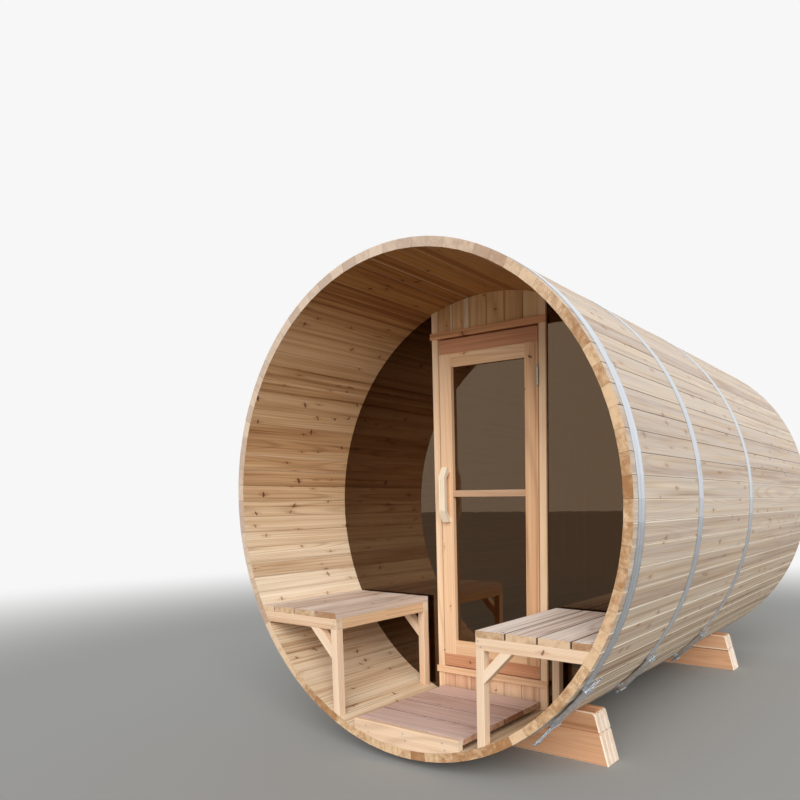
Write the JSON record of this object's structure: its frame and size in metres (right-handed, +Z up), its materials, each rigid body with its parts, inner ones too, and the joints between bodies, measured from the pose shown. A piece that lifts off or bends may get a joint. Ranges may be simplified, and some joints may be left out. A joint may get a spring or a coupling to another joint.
{
  "type": "barrel sauna",
  "caption": "Round timber sauna built of staves, with an open porch, two benches, a glazed door between tinted side panes, steel hoops and cradles.",
  "frame": {"origin": "on the ground under the middle of the barrel", "axes": "+X to the right seen from the porch, +Y from the open porch to the back wall, +Z up"},
  "size_m": [2.1376, 2.98, 2.1738],
  "materials": {
    "stave_timber": "planed, bare",
    "frame_timber": "planed, bare",
    "red_timber": "planed, bare",
    "bench_timber": "planed, bare",
    "floor_timber": "planed, bare",
    "cradle_timber": "planed, bare",
    "galvanised_steel": "galvanised",
    "hinge_steel": "brushed",
    "tinted_glass": "clear bronze tint"
  },
  "bodies": {
    "root": {"back_cradle": "cradle_timber", "back_wall": "frame_timber", "cabin_floor_bearers": "floor_timber", "cabin_floor_boards": "floor_timber", "front_cradle": "cradle_timber", "front_wall_header": "frame_timber", "front_wall_left_post": "frame_timber", "front_wall_lower_boards": "frame_timber", "front_wall_right_post": "frame_timber", "front_wall_sill": "frame_timber", "front_wall_upper_boards": "frame_timber", "hoop_1": "galvanised_steel", "hoop_2": "galvanised_steel", "hoop_3": "galvanised_steel", "left_bench_frame": "bench_timber", "left_bench_slats": "bench_timber", "left_side_glass": "tinted_glass", "porch_floor_boards": "floor_timber", "porch_floor_fascia": "floor_timber", "porch_floor_joists": "floor_timber", "post_hinge_leaves": "hinge_steel", "right_bench_frame": "bench_timber", "right_bench_slats": "bench_timber", "right_side_glass": "tinted_glass", "stave_group_01": "stave_timber", "stave_group_02": "stave_timber", "stave_group_03": "stave_timber", "stave_group_04": "stave_timber", "stave_group_05": "stave_timber", "stave_group_06": "stave_timber", "stave_group_07": "stave_timber", "stave_group_08": "stave_timber", "stave_group_09": "stave_timber", "stave_group_10": "stave_timber", "stave_group_11": "stave_timber", "stave_group_12": "stave_timber", "tensioner_1": "galvanised_steel", "tensioner_2": "galvanised_steel", "tensioner_3": "galvanised_steel"},
    "door": {"door_end_boards": "red_timber", "door_glass": "tinted_glass", "door_handle": "frame_timber", "door_hinge_leaves": "hinge_steel", "door_rails": "frame_timber", "door_stiles": "frame_timber"}
  },
  "joints": [
    {"name": "door_hinge", "type": "hinge", "parent": "root", "child": "door", "pos_m": [0.2985, -0.863, 1.1], "axis": [0, 0, 1], "range_deg": [0, 95]}
  ]
}
